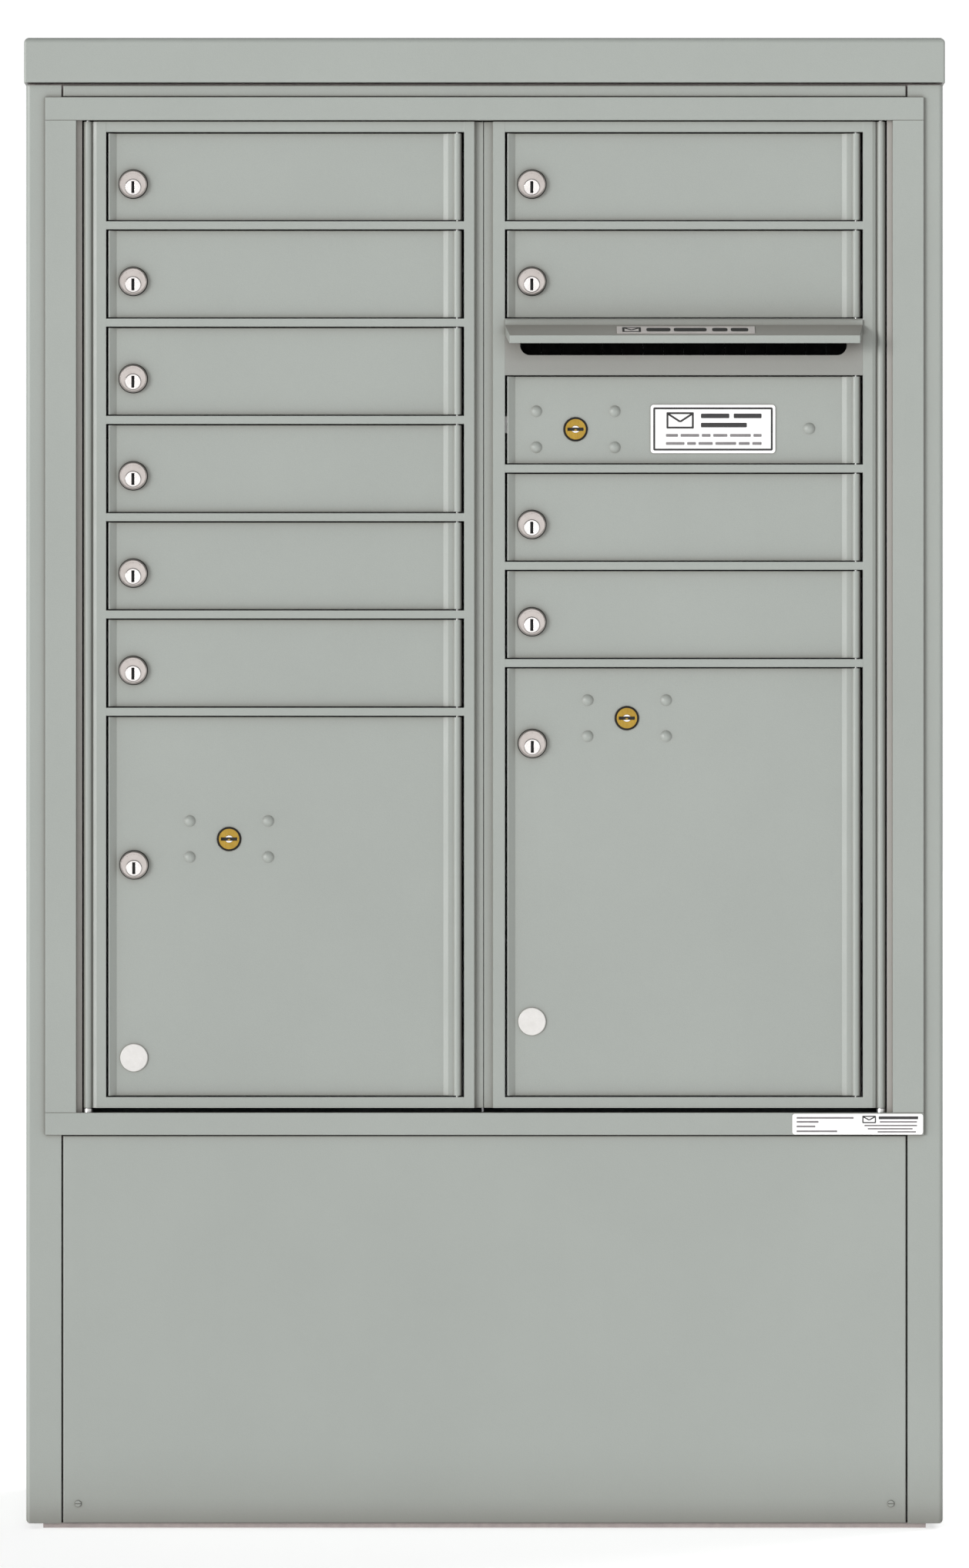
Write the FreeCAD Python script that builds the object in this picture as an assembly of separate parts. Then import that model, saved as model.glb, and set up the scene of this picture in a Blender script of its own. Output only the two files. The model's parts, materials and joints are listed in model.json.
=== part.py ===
import FreeCAD, Part
import math
import os

# Front-loading mailbox module in a free-standing floor cabinet.
# Millimetres. X runs left to right as seen from the front, Y runs from front to rear, Z is up.
# Depths below are measured from the front face of the side panels, positive towards the rear.

os.makedirs("parts", exist_ok=True)

# ---------------------------------------------------------------- driving dimensions
PITCH = 88.9               # height of one compartment unit, 3.5 in

CABINET_HALF_W = 419.1     # side panels, outside, 33 in overall
CABINET_DEPTH = 501.7      # 19.75 in
SHEET = 1.9                # cabinet sheet
SIDE_BOTTOM = 4.9
SIDE_TOP = 1319.3
RETURN_EDGE = 386.7        # inner edge of the side panels' front and rear returns
PANEL_HALF_W = 385.3       # lower front panel and top filler strip

CAP_HALF_W = 420.9
CAP_BOTTOM = 1321.5
CAP_TOP = 1362.6
CAP_OVERHANG = 3.0

BASE_HALF_W = 404.0
BASE_FRONT = 12.0
BASE_REAR = 490.0
BASE_BAR = 60.0
ANCHOR_X = 365.0
ANCHOR_HALF_DEPTH = 209.0
ANCHOR_R = 6.75

TRIM_HALF_W = 401.5
TRIM_BOTTOM = 360.0
TRIM_TOP = 1308.1
TRIM_THICK = 3.0
OPEN_HALF_W = 373.0        # clear opening inside the trim
OPEN_BOTTOM = 380.4
OPEN_TOP = 1287.0

LEAF_BOTTOM = 384.6
LEAF_TOP = 1285.9
LEAF_DEPTH = 16.0
PIVOT_X = 362.5            # master door pivots
BEAD_R = 4.2               # hinge beads of master doors and compartment doors
AXIS_DEPTH = 4.2           # depth of every vertical hinge axis
PIVOT_R = 2.0
ROD_R = 1.6
RUN = 0.05                 # radial running clearance of the hinge pins

APERTURE_IN = 18.65        # inner edge of the door apertures, from the centre
APERTURE_OUT = 345.9       # outer edge of the door apertures
FIRST_TOP = 1276.4         # top of the highest aperture
APERTURE_H = 81.6
PARCEL_BOTTOM = 394.5

DOOR_FACE = 4.0            # depth of the flat door faces, behind the frame
DOOR_SHEET = 2.5
DOOR_GAP = 1.2
SIDE_GAP = 2.2
HINGE_INSET = 6.2          # hinge axis, from the aperture's right edge

LOCK_INSET = 24.6          # lock centre, from the aperture's left edge
LOCK_DROP = 47.4           # lock centre, below the aperture's top
LOCK_HEAD_R = 12.75
LOCK_FRONT = -0.6          # depth of the front of a lock's head
PLUG_FRONT = -1.4
LOCK_BARREL_R = 9.5
PLUG_R = 7.3
PLUG_DROP = 3.0            # plug axis, below the centre of the lock's head
PLUG_RUN = 0.08
CAM_REACH = 33.0

ARROW_R = 10.85            # carrier's lock cylinder
ARROW_STUD_X = 35.9
ARROW_STUD_Z = 16.5
STUD_R = 3.0
STUD_HOLE_R = 3.1
COVER_R = 12.65            # cover over a spare lock hole
COVER_STEM_R = 9.3
CRANK_R = 8.49             # crank pin circle; 90 degrees of turn gives 12 mm of bolt travel

HOOD_REACH = 26.0
HOOD_TOP = 1104.7
HOOD_FOLD = 1100.0
HOOD_NOSE = 1089.3
HOOD_LIP = 1082.2

HOUSING_FRONT = 20.0
HOUSING_REAR = 432.5
HOUSING_SHEET = 1.5
SHELF_FRONT = 26.0

# Y of the side panels' front face, so that the origin is midway between hood lip and cap rear.
FRONT_Y = -(CABINET_DEPTH + CAP_OVERHANG - HOOD_REACH) / 2.0


# ---------------------------------------------------------------- helpers
def box(x0, x1, d0, d1, z0, z1):
    """A block between two X, two depth and two Z values."""
    corner = FreeCAD.Vector(min(x0, x1), FRONT_Y + d0, z0)
    return Part.makeBox(abs(x1 - x0), d1 - d0, z1 - z0, corner)


def rod_z(x, d, z0, z1, r):
    """An upright cylinder."""
    return Part.makeCylinder(r, z1 - z0, FreeCAD.Vector(x, FRONT_Y + d, z0), FreeCAD.Vector(0, 0, 1))


def rod_y(x, z, d0, d1, r):
    """A cylinder along Y."""
    return Part.makeCylinder(r, d1 - d0, FreeCAD.Vector(x, FRONT_Y + d0, z), FreeCAD.Vector(0, 1, 0))


def prism_z(points, z0, z1):
    """A plan outline of (x, depth) points, extruded upwards."""
    corners = [FreeCAD.Vector(x, FRONT_Y + d, z0) for x, d in points]
    face = Part.Face(Part.makePolygon(corners + corners[:1]))
    return face.extrude(FreeCAD.Vector(0, 0, z1 - z0))


def prism_x(points, x0, x1):
    """A side outline of (depth, z) points, extruded along X."""
    corners = [FreeCAD.Vector(x0, FRONT_Y + d, z) for d, z in points]
    face = Part.Face(Part.makePolygon(corners + corners[:1]))
    return face.extrude(FreeCAD.Vector(x1 - x0, 0, 0))


def prism_y(points, d0, d1):
    """A front outline of (x, z) points, extruded backwards."""
    corners = [FreeCAD.Vector(x, FRONT_Y + d0, z) for x, z in points]
    face = Part.Face(Part.makePolygon(corners + corners[:1]))
    return face.extrude(FreeCAD.Vector(0, d1 - d0, 0))


def hexagon(x, z, flats):
    """Corner points of a hexagon with two upright flats."""
    r = flats / math.sqrt(3.0)
    angles = [math.radians(30 + 60 * k) for k in range(6)]
    return [(x + r * math.cos(a), z + r * math.sin(a)) for a in angles]


def edges_where(shape, test):
    """The straight edges whose middle point passes a test."""
    found = []
    for edge in shape.Edges:
        if test(edge.CenterOfMass, edge):
            found.append(edge)
    return found


def write(name, solids):
    """Writes one node's solids to its STEP file."""
    if not isinstance(solids, (list, tuple)):
        solids = [solids]
    flat = []
    for shape in solids:
        flat += shape.Solids
    shape = flat[0] if len(flat) == 1 else Part.makeCompound(flat)
    shape.exportStep("parts/" + name + ".step")


def mirror_x(shape):
    """The shape mirrored left to right."""
    return shape.mirror(FreeCAD.Vector(0, 0, 0), FreeCAD.Vector(1, 0, 0))


# ---------------------------------------------------------------- cabinet
def right_side_panel():
    outer = box(RETURN_EDGE, CABINET_HALF_W, 0, CABINET_DEPTH, SIDE_BOTTOM, SIDE_TOP)
    inner = box(RETURN_EDGE - 1, CABINET_HALF_W - SHEET, SHEET, CABINET_DEPTH - SHEET,
                SIDE_BOTTOM + SHEET, SIDE_TOP + 1)

    def on_outside(limit):
        def test(point, edge):
            return point.x > limit - 0.01 and point.z < SIDE_TOP - 1
        return test

    outer = outer.makeFillet(4.0, edges_where(outer, on_outside(CABINET_HALF_W)))
    inner = inner.makeFillet(4.0 - SHEET, edges_where(inner, on_outside(CABINET_HALF_W - SHEET)))
    return outer.cut(inner)


def cap():
    outer = box(-CAP_HALF_W, CAP_HALF_W, -CAP_OVERHANG, CABINET_DEPTH + CAP_OVERHANG, CAP_BOTTOM, CAP_TOP)
    outer = outer.makeFillet(5.0, edges_where(outer, lambda p, e: p.z > CAP_TOP - 0.01))
    outer = outer.makeFillet(2.0, edges_where(outer, lambda p, e: abs(p.x) > CAP_HALF_W - 0.01
                                              and abs(p.z - (CAP_BOTTOM + CAP_TOP) / 2) < 6
                                              and e.Length > 20 and e.Length < 60))
    inner = box(-CAP_HALF_W + SHEET, CAP_HALF_W - SHEET, -CAP_OVERHANG + SHEET,
                CABINET_DEPTH + CAP_OVERHANG - SHEET, CAP_BOTTOM + SHEET, CAP_TOP - SHEET)
    inner = inner.makeFillet(3.1, edges_where(inner, lambda p, e: p.z > CAP_TOP - SHEET - 0.01))
    mouth = box(-CAP_HALF_W + 20, CAP_HALF_W - 20, 15, CABINET_DEPTH - 15, CAP_BOTTOM - 1, CAP_BOTTOM + 5)
    return outer.cut(inner).cut(mouth)


def tray(half_w, d0, d1, z0, z1):
    """A folded panel: a front sheet with its four edges turned back."""
    outer = box(-half_w, half_w, d0, d1, z0, z1)
    outer = outer.makeFillet(1.2, edges_where(outer, lambda p, e: p.y < FRONT_Y + d0 + 0.01))
    inner = box(-half_w + SHEET, half_w - SHEET, d0 + SHEET, d1 + 1, z0 + SHEET, z1 - SHEET)
    return outer.cut(inner)


def tube_x(x0, x1, d0, d1, z0, z1, wall):
    """A rectangular tube along X."""
    return box(x0, x1, d0, d1, z0, z1).cut(box(x0 - 1, x1 + 1, d0 + wall, d1 - wall, z0 + wall, z1 - wall))


side = right_side_panel()
write("cap", cap())

PANEL_SCREW_X = 371.5
PANEL_SCREW_Z = 23.0
front_panel = tray(PANEL_HALF_W, 0, 22, 5.2, 359.3)
for sx in (-PANEL_SCREW_X, PANEL_SCREW_X):
    front_panel = front_panel.cut(rod_y(sx, PANEL_SCREW_Z, -1, 3, 2.2))
write("lower_front_panel", front_panel)
write("top_filler", tray(PANEL_HALF_W, 0, 12, 1308.6, 1319.3))

rear_panel = box(-410, 410, CABINET_DEPTH - 2 * SHEET, CABINET_DEPTH - SHEET, 8, 1318)
REAR_SCREWS = [(sx, sz) for sx in (-402, 402) for sz in (60, 460, 860, 1260)]
for sx, sz in REAR_SCREWS:
    rear_panel = rear_panel.cut(rod_y(sx, sz, 490, 505, 2.2))
    if sx > 0:
        side = side.cut(rod_y(sx, sz, 490, 505, 2.2))
write("rear_panel", rear_panel)
write("right_side_panel", side)
write("left_side_panel", mirror_x(side))

base_bars = [
    box(-BASE_HALF_W, BASE_HALF_W, BASE_FRONT, BASE_FRONT + BASE_BAR, 0, SIDE_BOTTOM),
    box(-BASE_HALF_W, BASE_HALF_W, BASE_REAR - BASE_BAR, BASE_REAR, 0, SIDE_BOTTOM),
    box(-BASE_HALF_W, -BASE_HALF_W + BASE_BAR, BASE_FRONT + BASE_BAR, BASE_REAR - BASE_BAR, 0, SIDE_BOTTOM),
    box(BASE_HALF_W - BASE_BAR, BASE_HALF_W, BASE_FRONT + BASE_BAR, BASE_REAR - BASE_BAR, 0, SIDE_BOTTOM),
]
BASE_MIDDLE = (BASE_FRONT + BASE_REAR) / 2.0
ANCHOR_DEPTHS = (BASE_MIDDLE - ANCHOR_HALF_DEPTH, BASE_MIDDLE + ANCHOR_HALF_DEPTH)
drilled = []
for bar in base_bars:
    for ax in (-ANCHOR_X, ANCHOR_X):
        for depth in ANCHOR_DEPTHS:
            bar = bar.cut(rod_z(ax, depth, -1, SIDE_BOTTOM + 1, ANCHOR_R))
    drilled.append(bar)
write("base_frame", drilled)

TOP_FRAME_Z = 1296.0
write("top_frame", [
    box(-386, 386, 12, 37, TOP_FRAME_Z, CAP_BOTTOM),
    box(-386, 386, 462, 487, TOP_FRAME_Z, CAP_BOTTOM),
    box(-417.2, -392, 12, 487, TOP_FRAME_Z, CAP_BOTTOM),
    box(392, 417.2, 12, 487, TOP_FRAME_Z, CAP_BOTTOM),
    box(-392, -386, 12, 30, TOP_FRAME_Z, CAP_BOTTOM),
    box(386, 392, 12, 30, TOP_FRAME_Z, CAP_BOTTOM),
    box(-392, -386, 469, 487, TOP_FRAME_Z, CAP_BOTTOM),
    box(386, 392, 469, 487, TOP_FRAME_Z, CAP_BOTTOM),
])

BEARER_Z = 377.0
bearers = []
for depth in (60.0, 370.0):
    bearers.append(tube_x(-CABINET_HALF_W + SHEET, CABINET_HALF_W - SHEET, depth, depth + 30,
                          BEARER_Z - 25, BEARER_Z, 2.0))
write("module_bearers", bearers)


def panel_screw(x, z, d, toward):
    """A pan-head screw; toward is -1 for a head on the front, +1 for a head on the rear."""
    if toward < 0:
        head = rod_y(x, z, d - 1.1, d, 3.1)
        rim = edges_where(head, lambda p, e: p.y < FRONT_Y + d - 1.0 and e.Length > 15)
        head = head.makeChamfer(0.5, rim)
        shank = rod_y(x, z, d, d + 9, 2.0)
        slot = box(x - 2.6, x + 2.6, d - 1.2, d - 0.6, z - 0.35, z + 0.35)
    else:
        head = rod_y(x, z, d, d + 1.6, 3.6)
        shank = rod_y(x, z, d - 9, d, 2.0)
        slot = box(x - 3, x + 3, d + 0.9, d + 1.7, z - 0.4, z + 0.4)
    return head.fuse(shank).removeSplitter().cut(slot)


screws = [panel_screw(sx, PANEL_SCREW_Z, 0, -1) for sx in (-PANEL_SCREW_X, PANEL_SCREW_X)]
screws += [panel_screw(sx, sz, CABINET_DEPTH, 1) for sx, sz in REAR_SCREWS]
write("panel_screws", screws)

# ---------------------------------------------------------------- trim and module housing
INNER_WALL = 1.5
JAMB_FRONT = 3.0


def trim_bar(x0, x1, z0, z1, wall):
    flange = box(x0, x1, -TRIM_THICK, 0, z0, z1)
    flange = flange.makeChamfer(0.4, edges_where(flange, lambda p, e: p.y < FRONT_Y - TRIM_THICK + 0.01))
    return flange.fuse(wall).removeSplitter()


side_wall = box(OPEN_HALF_W, OPEN_HALF_W + INNER_WALL, 0, JAMB_FRONT, OPEN_BOTTOM, OPEN_TOP)
side_trim = trim_bar(OPEN_HALF_W, TRIM_HALF_W, OPEN_BOTTOM, OPEN_TOP, side_wall)
top_wall = box(-OPEN_HALF_W, OPEN_HALF_W, 0, 12, OPEN_TOP, OPEN_TOP + INNER_WALL)
low_wall = box(-OPEN_HALF_W, OPEN_HALF_W, 0, 12, OPEN_BOTTOM - INNER_WALL, OPEN_BOTTOM)
pivot_hole_low = box(PIVOT_X - 8, OPEN_HALF_W + 1, 0.0, 13, OPEN_BOTTOM - 3, OPEN_BOTTOM + 1)
pivot_hole_top = box(PIVOT_X - 8, OPEN_HALF_W + 1, 0.0, 13, OPEN_TOP - 1, OPEN_TOP + 3)
for hole in (pivot_hole_top, mirror_x(pivot_hole_top)):
    top_wall = top_wall.cut(hole)
for hole in (pivot_hole_low, mirror_x(pivot_hole_low)):
    low_wall = low_wall.cut(hole)
top_trim = trim_bar(-TRIM_HALF_W, TRIM_HALF_W, OPEN_TOP, TRIM_TOP, top_wall)
low_trim = trim_bar(-TRIM_HALF_W, TRIM_HALF_W, TRIM_BOTTOM, OPEN_BOTTOM, low_wall)
write("trim_frame", [top_trim, low_trim, side_trim, mirror_x(side_trim)])

jamb = box(PIVOT_X + BEAD_R + 1.2, OPEN_HALF_W + INNER_WALL, JAMB_FRONT, HOUSING_FRONT, 378.5, 1289.0)
write("hinge_jambs", [jamb, mirror_x(jamb)])


def pivot_bracket(z0, z1):
    """A plate and boss that hold one end of a master door's pivot pin."""
    plate = box(PIVOT_X - 6, 372.5, 0.2, 12, z0, z1)
    return plate.cut(rod_z(PIVOT_X, AXIS_DEPTH, z0 - 1, z1 + 1, PIVOT_R))


low_boss = rod_z(PIVOT_X, AXIS_DEPTH, 378.5, LEAF_BOTTOM - 0.6, BEAD_R)
low_boss = low_boss.cut(rod_z(PIVOT_X, AXIS_DEPTH, 370, 390, PIVOT_R))
low_bracket = pivot_bracket(374.0, 378.5).fuse(low_boss).removeSplitter()
top_bracket = pivot_bracket(1289.0, 1293.0)
pivot_pin = rod_z(PIVOT_X, AXIS_DEPTH, 374.0, 1293.0, PIVOT_R)
pivot_set = [low_bracket, top_bracket, pivot_pin]
write("master_pivots", pivot_set + [mirror_x(piece) for piece in pivot_set])

HOUSING_X = 371.5
HOUSING_LOW = 377.0
HOUSING_HIGH = 1290.5
housing_side = box(HOUSING_X - HOUSING_SHEET, HOUSING_X, HOUSING_FRONT, HOUSING_REAR - HOUSING_SHEET,
                   HOUSING_LOW + HOUSING_SHEET, HOUSING_HIGH - HOUSING_SHEET)
write("housing_walls", [
    housing_side,
    mirror_x(housing_side),
    box(-HOUSING_X, HOUSING_X, 14, HOUSING_REAR - HOUSING_SHEET, HOUSING_HIGH - HOUSING_SHEET, HOUSING_HIGH),
    box(-HOUSING_X, HOUSING_X, 14, HOUSING_REAR - HOUSING_SHEET, HOUSING_LOW, HOUSING_LOW + HOUSING_SHEET),
])
write("housing_back", box(-HOUSING_X, HOUSING_X, HOUSING_REAR - HOUSING_SHEET, HOUSING_REAR,
                          HOUSING_LOW, HOUSING_HIGH))

PARTITION_L = -2.5
PARTITION_R = -1.0
partition = box(PARTITION_L, PARTITION_R, SHELF_FRONT, HOUSING_REAR - HOUSING_SHEET,
                HOUSING_LOW + HOUSING_SHEET, HOUSING_HIGH - HOUSING_SHEET)

MASTER_LOCK = (83.3, 1004.9)
LATCH_X = -13.3
LATCH_Z = 900.0
BOLT_LOW = -3.0
BOLT_HIGH = 12.6
BOLT_FRONT = 17.0
BOLT_REAR = 22.0


def keeper(z0, z1, window_low, window_high):
    """A strike plate in front of the centre partition, with a window for a bolt or latch."""
    plate = box(-6.0, -4.0, 14.5, 34.0, z0, z1)
    plate = plate.cut(box(-7, -3, 16.2, 23.0, window_low, window_high))
    foot = box(-4.0, PARTITION_L, 27.0, 34.0, z0, z1)
    return plate.fuse(foot).removeSplitter()


write("centre_partition", [
    partition,
    keeper(985, 1032, MASTER_LOCK[1] + BOLT_LOW - 1.5, MASTER_LOCK[1] + BOLT_HIGH + 1.5),
    keeper(885, 935, LATCH_Z - 8, LATCH_Z + 22),
])


def aperture_top(row):
    return FIRST_TOP - PITCH * row


LEFT_SHELF_ROWS = (1, 2, 3, 4, 5, 6)      # rows counted in units from the top
RIGHT_SHELF_ROWS = (1, 2, 3.5, 4.5, 5.5)
RAIL_H = PITCH - APERTURE_H
shelves = []
for row in LEFT_SHELF_ROWS:
    mid = aperture_top(row) + RAIL_H / 2
    shelf = box(-HOUSING_X + HOUSING_SHEET, PARTITION_L, SHELF_FRONT, HOUSING_REAR - HOUSING_SHEET,
                mid - 0.75, mid + 0.75)
    if row in (3, 4):
        shelf = shelf.cut(box(-6.5, PARTITION_L + 1, SHELF_FRONT - 1, 34.5, mid - 2, mid + 2))
    shelves.append(shelf)
for row in RIGHT_SHELF_ROWS:
    mid = aperture_top(row) + RAIL_H / 2
    shelves.append(box(PARTITION_R, HOUSING_X - HOUSING_SHEET, SHELF_FRONT, HOUSING_REAR - HOUSING_SHEET,
                       mid - 0.75, mid + 0.75))
write("compartment_shelves", shelves)

label = box(281.2, 400.8, -TRIM_THICK - 0.4, -TRIM_THICK, 360.4, 379.4)
label = label.makeFillet(2.5, edges_where(label, lambda p, e: abs(e.Length - 0.4) < 0.01))
write("rating_label", label)

# ---------------------------------------------------------------- master door frames
def outer_stile(sign):
    """Outer stile with its hinge bead; sign is -1 for the left door, +1 for the right."""
    outline = [
        (APERTURE_OUT, 0), (354.6, 0), (357.6, 1.2), (357.6, 2.6), (PIVOT_X, 2.6),
        (PIVOT_X, 6.6), (357.6, 6.6), (356.5, LEAF_DEPTH), (APERTURE_OUT, LEAF_DEPTH),
    ]
    stile = prism_z(outline, LEAF_BOTTOM, LEAF_TOP)
    stile = stile.fuse(rod_z(PIVOT_X, AXIS_DEPTH, LEAF_BOTTOM, LEAF_TOP, BEAD_R)).removeSplitter()
    stile = stile.cut(rod_z(PIVOT_X, AXIS_DEPTH, LEAF_BOTTOM - 1, LEAF_TOP + 1, PIVOT_R + RUN))
    return stile if sign > 0 else mirror_x(stile)


def inner_stile(x_aperture, x_face, x_foot, x_lip):
    """Inner stile: a front face and a recessed lip that meets the other door."""
    outline = [
        (x_aperture, 0), (x_face, 0), (x_foot, 4.0), (x_lip, 4.0), (x_lip, 8.0),
        (x_foot, 8.0), (x_foot, LEAF_DEPTH), (x_aperture, LEAF_DEPTH),
    ]
    return prism_z(outline, LEAF_BOTTOM, LEAF_TOP)


def rail(x0, x1, z0, z1, rod_x):
    bar = box(x0, x1, 0, LEAF_DEPTH, z0, z1)
    top = LEAF_TOP - 3 if z1 > LEAF_TOP - 1 else z1 + 1
    low = LEAF_BOTTOM + 3 if z0 < LEAF_BOTTOM + 1 else z0 - 1
    return bar.cut(rod_z(rod_x, AXIS_DEPTH, low, top, ROD_R + RUN))


def cross_rails(x0, x1, rows, rod_x):
    bars = [rail(x0, x1, FIRST_TOP, LEAF_TOP, rod_x)]
    for row in rows:
        bars.append(rail(x0, x1, aperture_top(row), aperture_top(row) + RAIL_H, rod_x))
    bars.append(rail(x0, x1, LEAF_BOTTOM, PARCEL_BOTTOM, rod_x))
    return bars


LEFT_HINGE_X = -APERTURE_IN - HINGE_INSET
RIGHT_HINGE_X = APERTURE_OUT - HINGE_INSET
left_inner = inner_stile(-APERTURE_IN, -9.4, -7.4, -1.15)
left_inner = left_inner.cut(rod_y(LATCH_X, LATCH_Z, 8.0, LEAF_DEPTH + 1, 3.0 + RUN))
write("left_master_frame", [outer_stile(-1), left_inner]
      + cross_rails(-APERTURE_OUT, -APERTURE_IN, LEFT_SHELF_ROWS, LEFT_HINGE_X))
write("right_master_frame", [outer_stile(1), inner_stile(APERTURE_IN, 8.0, 6.2, -0.45)]
      + cross_rails(APERTURE_IN, APERTURE_OUT, RIGHT_SHELF_ROWS, RIGHT_HINGE_X))
write("left_door_rod", rod_z(LEFT_HINGE_X, AXIS_DEPTH, LEAF_BOTTOM + 3, LEAF_TOP - 3, ROD_R))
write("right_door_rod", rod_z(RIGHT_HINGE_X, AXIS_DEPTH, LEAF_BOTTOM + 3, LEAF_TOP - 3, ROD_R))

latch_pin = rod_y(LATCH_X, LATCH_Z, 8.3, 17.0, 3.0)
latch_arm = box(LATCH_X - 4.5, LATCH_X + 4.5, 17.0, 20.0, LATCH_Z, LATCH_Z + 14)
latch_arm = latch_arm.fuse([
    rod_y(LATCH_X, LATCH_Z, 17.0, 20.0, 4.5),
    rod_y(LATCH_X, LATCH_Z + 14, 17.0, 20.0, 4.5),
    latch_pin,
]).removeSplitter()
write("left_master_latch", latch_arm)


# ---------------------------------------------------------------- doors
def door_panel(ap_left, ap_right, z0, z1):
    """A compartment door: recessed sheet with a raised left edge and a hinge bead on the right."""
    left = ap_left + SIDE_GAP
    rear = DOOR_FACE + DOOR_SHEET
    axis = ap_right - HINGE_INSET
    outline = [
        (left, 0.7), (left + 0.8, 0.4), (left + 7.3, DOOR_FACE), (ap_right - 19.0, DOOR_FACE),
        (ap_right - 14.6, 2.4), (axis, 2.4), (axis, 6.6), (ap_right - 15.0, rear),
        (left + 2.0, rear), (left + 2.0, 9.5), (left, 9.5),
    ]
    panel = prism_z(outline, z0 + DOOR_GAP, z1 - DOOR_GAP)
    panel = panel.fuse(rod_z(axis, AXIS_DEPTH, z0 + DOOR_GAP, z1 - DOOR_GAP, BEAD_R)).removeSplitter()
    return panel.cut(rod_z(axis, AXIS_DEPTH, z0 - 1, z1 + 1, ROD_R + RUN))


def lock_housing(x, z):
    """Cam lock housing: an offset round head in front, a barrel and a hexagon nut behind."""
    axis_z = z - PLUG_DROP
    head = rod_y(x, z, LOCK_FRONT, DOOR_FACE, LOCK_HEAD_R)
    rim = edges_where(head, lambda p, e: p.y < FRONT_Y + LOCK_FRONT + 0.1 and e.Length > 70)
    head = head.makeChamfer(1.0, rim)
    barrel = rod_y(x, axis_z, DOOR_FACE, LEAF_DEPTH + 1.0, LOCK_BARREL_R)
    housing = head.fuse(barrel).removeSplitter()
    housing = housing.cut(rod_y(x, axis_z, -4, 20, PLUG_R + PLUG_RUN))
    nut = prism_y(hexagon(x, axis_z, 24.0), DOOR_FACE + DOOR_SHEET, DOOR_FACE + DOOR_SHEET + 4.0)
    nut = nut.cut(rod_y(x, axis_z, 0, 20, LOCK_BARREL_R + 0.05))
    return [housing, nut]


def lock_hole(x, z):
    return rod_y(x, z - PLUG_DROP, -5, 12, LOCK_BARREL_R + 0.1)


def lock_plug(x, z, cam_up):
    """Key plug and cam, which turn together; the cam is upright when the lock is open."""
    axis_z = z - PLUG_DROP
    way = 1 if cam_up else -1
    plug = rod_y(x, axis_z, PLUG_FRONT, 17.3, PLUG_R)
    rim = edges_where(plug, lambda p, e: p.y < FRONT_Y + PLUG_FRONT + 0.1 and e.Length > 40)
    plug = plug.makeChamfer(0.5, rim)
    tail = rod_y(x, axis_z, 17.3, 20.8, 3.6)
    screw = prism_y(hexagon(x, axis_z, 9.0), 20.8, 22.8)
    plug = plug.fuse([tail, screw]).removeSplitter()
    plug = plug.cut(box(x - 1.4, x + 1.4, -4.5, 3.5, axis_z - 5.4, axis_z + 5.4))
    low, high = sorted((axis_z, axis_z + way * (CAM_REACH - 4.0)))
    cam = box(x - 7.0, x + 7.0, 17.6, 20.6, low, high)
    tip_low, tip_high = sorted((axis_z, axis_z + way * CAM_REACH))
    cam = cam.fuse([
        rod_y(x, axis_z, 17.6, 20.6, 8.5),
        box(x - 3.5, x + 3.5, 17.6, 20.6, tip_low, tip_high),
    ]).removeSplitter()
    cam = cam.cut(rod_y(x, axis_z, 15, 22, 3.65))
    return [plug, cam]


def bolt_head(x, z, length):
    """A round-headed bolt through a door; length is the depth of its rear end."""
    dome_r = 7.2
    cap_h = 2.4
    ball = Part.makeSphere(dome_r, FreeCAD.Vector(x, FRONT_Y + DOOR_FACE + dome_r - cap_h, z))
    head = ball.common(rod_y(x, z, DOOR_FACE - cap_h - 1, DOOR_FACE, 6.0))
    shank = rod_y(x, z, DOOR_FACE, length, STUD_R)
    return head.fuse(shank).removeSplitter()


def bolt_nut(x, z, d0):
    nut = prism_y(hexagon(x, z, 10.0), d0, d0 + 4.0)
    return nut.cut(rod_y(x, z, d0 - 1, d0 + 5, 3.05))


CASE_FRONT = DOOR_FACE + DOOR_SHEET
CASE_REAR = CASE_FRONT + 24.0
CASE_WALL = 2.0


def stud_points(x, z):
    return [(x + sx * ARROW_STUD_X, z + sz * ARROW_STUD_Z) for sx in (-1, 1) for sz in (-1, 1)]


def arrow_case(x, z):
    """Case of a carrier's lock, with a window for the bolt on its left."""
    case = box(x - 46, x + 46, CASE_FRONT, CASE_REAR, z - 26, z + 26)
    case = case.cut(box(x - 44, x + 44, CASE_FRONT + CASE_WALL, CASE_REAR - CASE_WALL, z - 24, z + 24))
    case = case.cut(rod_y(x, z, 0, CASE_FRONT + 5, ARROW_R + PLUG_RUN))
    case = case.cut(box(x - 50, x - 40, BOLT_FRONT - 0.5, BOLT_REAR + 0.5,
                        z + BOLT_LOW - 0.5, z + BOLT_HIGH + 0.5))
    for sx, sz in stud_points(x, z):
        case = case.cut(rod_y(sx, sz, 0, CASE_REAR + 2, STUD_HOLE_R))
    nuts = [bolt_nut(sx, sz, CASE_REAR) for sx, sz in stud_points(x, z)]
    return [case] + nuts


def arrow_studs(x, z):
    return [bolt_head(sx, sz, CASE_REAR + 6.0) for sx, sz in stud_points(x, z)]


def cut_arrow_holes(panel, x, z):
    panel = panel.cut(rod_y(x, z, -2, 12, ARROW_R + 0.35))
    for sx, sz in stud_points(x, z):
        panel = panel.cut(rod_y(sx, sz, -2, 12, STUD_HOLE_R))
    return panel


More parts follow.
